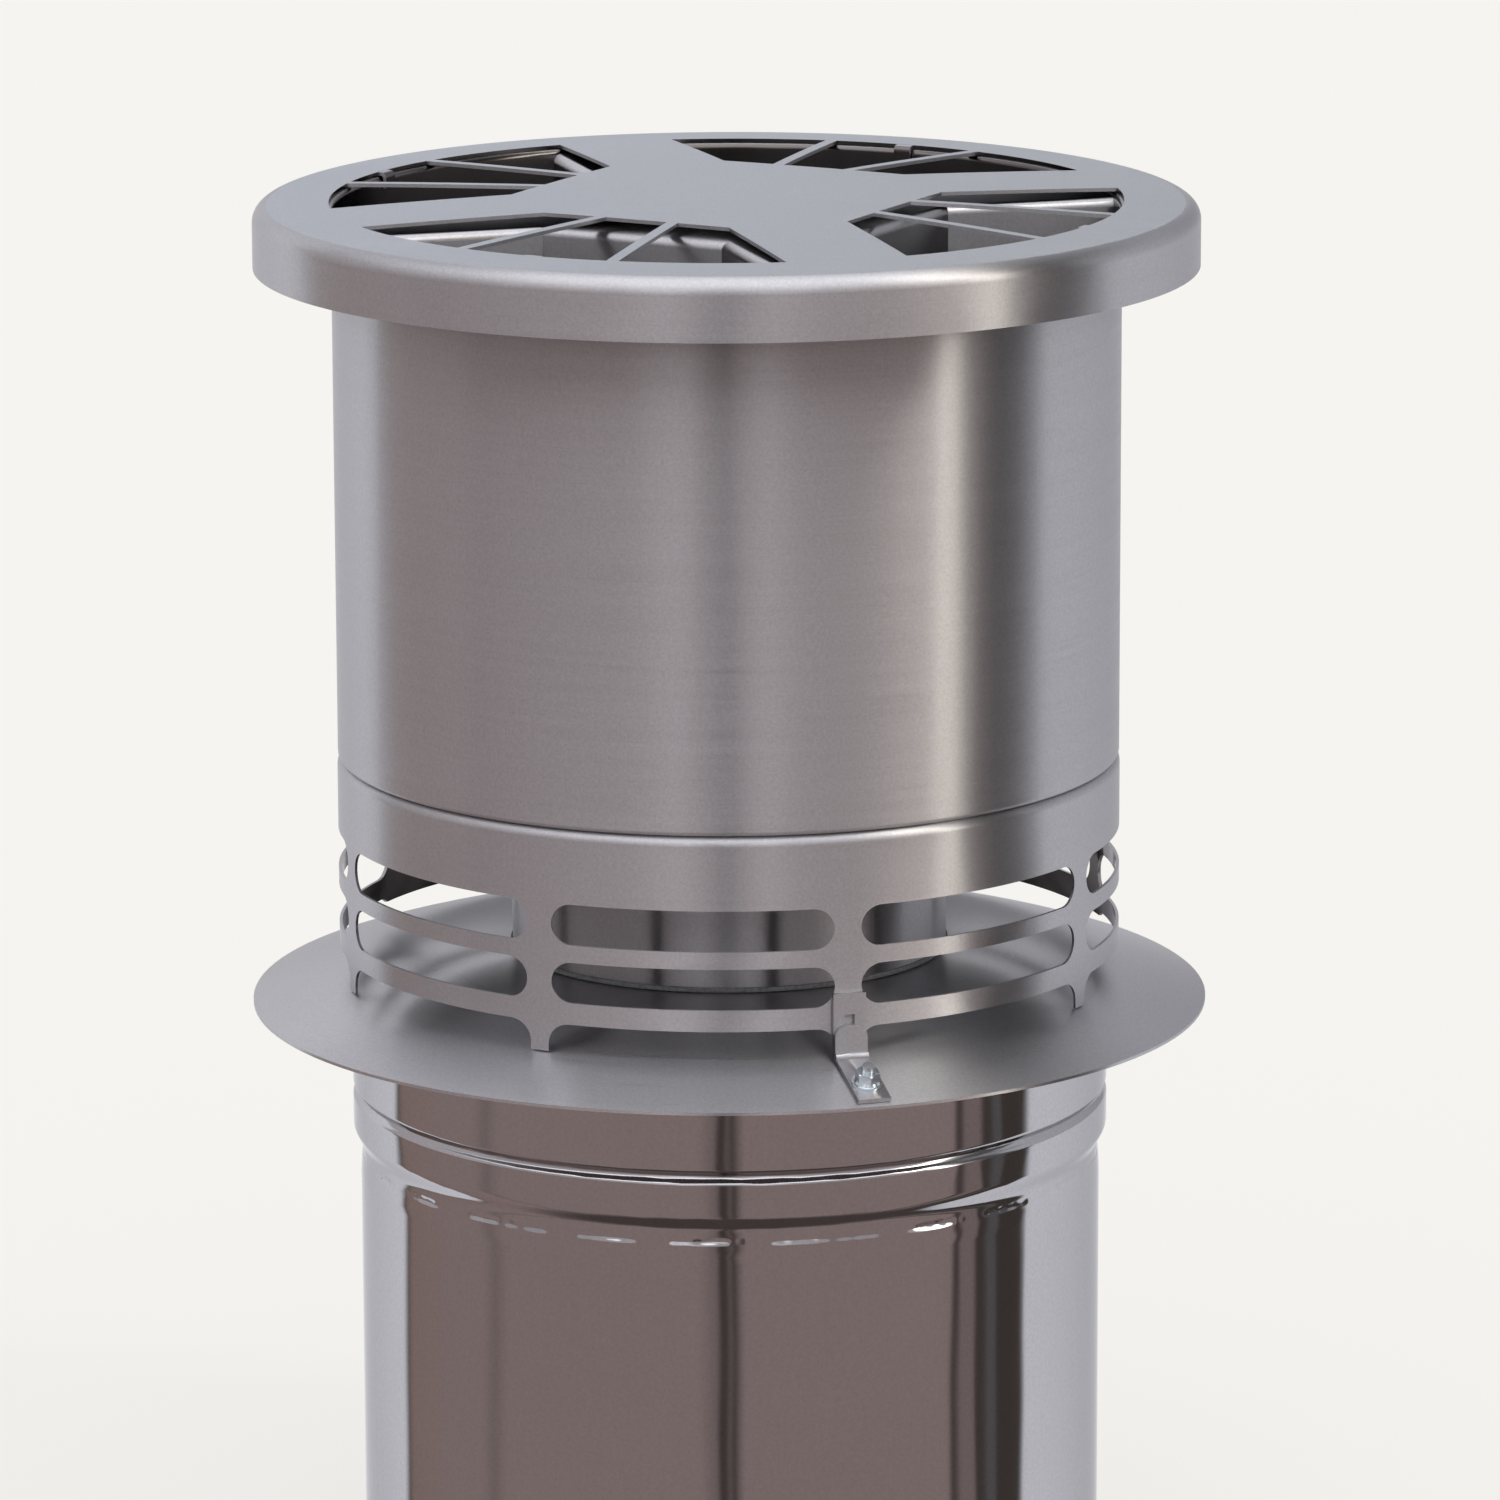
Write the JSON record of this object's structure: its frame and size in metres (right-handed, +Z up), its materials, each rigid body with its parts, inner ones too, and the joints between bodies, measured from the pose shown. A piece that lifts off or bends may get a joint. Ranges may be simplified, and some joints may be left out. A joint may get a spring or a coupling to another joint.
{
  "type": "chimney draught fan",
  "caption": "Round stainless chimney draught fan on a short insulated flue: louvred cap with four openings, slotted base ring, tilting head and backward-curved impeller.",
  "frame": {"origin": "centre of the flue section's foot, on the plane it stands on", "axes": "+Z up along the flue's axis; the catch is on the -Y side and the hinge on the +Y side, its pin along X; the cap's arms lie along X and Y"},
  "size_m": [0.321, 0.321, 0.4734],
  "materials": {
    "bright_steel": "bright annealed stainless sheet, mirror like",
    "satin_steel": "satin stainless sheet",
    "brushed_casing": "stainless sheet brushed round the axis",
    "zinc_fastener": "bright zinc plated",
    "machined_steel": "turned stainless",
    "impeller_steel": "mill finish stainless sheet",
    "plate_steel": "mill finish stainless plate",
    "mineral_wool": "pressed mineral fibre",
    "seal_rubber": "black silicone lip seal",
    "rope_gasket": "flat glass fibre gasket",
    "cast_aluminium": "cast, matt",
    "core_steel": "lacquered sheet stack",
    "winding_copper": "enamelled copper",
    "gland_plastic": "black polyamide"
  },
  "bodies": {
    "base": {"flue_jacket": "bright_steel", "flue_liner": "bright_steel", "flue_insulation": "mineral_wool", "flue_bottom_ring": "bright_steel", "flue_top_ring": "bright_steel", "base_collar": "satin_steel", "spigot": "bright_steel", "spigot_seal": "seal_rubber", "hinge_base_leaf": "satin_steel", "hinge_pin": "machined_steel", "hinge_rivets": "zinc_fastener", "catch_bracket": "satin_steel", "catch_screw": "zinc_fastener", "catch_nut": "zinc_fastener"},
    "head": {"slotted_ring": "satin_steel", "outer_casing": "brushed_casing", "top_cap": "satin_steel", "inner_duct": "satin_steel", "duct_gasket": "rope_gasket", "inlet_cone": "satin_steel", "motor_housing": "satin_steel", "housing_arms": "satin_steel", "motor_plate": "plate_steel", "insulating_board": "mineral_wool", "motor_casing": "cast_aluminium", "motor_cover": "cast_aluminium", "stator_core": "core_steel", "stator_windings": "winding_copper", "bearings": "machined_steel", "motor_screws": "zinc_fastener", "cable_gland": "gland_plastic", "gland_nut": "gland_plastic", "hinge_head_leaf": "satin_steel", "catch_strap": "satin_steel"},
    "impeller": {"motor_shaft": "machined_steel", "rotor_core": "core_steel", "cooling_disc": "impeller_steel", "impeller_hub": "machined_steel", "impeller_backplate": "impeller_steel", "impeller_blades": "impeller_steel", "impeller_shroud": "impeller_steel", "impeller_nut": "machined_steel"}
  },
  "joints": [
    {"name": "head_tilt", "type": "hinge", "parent": "base", "child": "head", "pos_m": [0, 0.13475, 0.21313], "axis": [-1, 0, 0], "range_deg": [0, 90]},
    {"name": "impeller_spin", "type": "hinge", "parent": "head", "child": "impeller", "pos_m": [0, 0, 0.36], "axis": [0, 0, 1], "continuous": true}
  ]
}
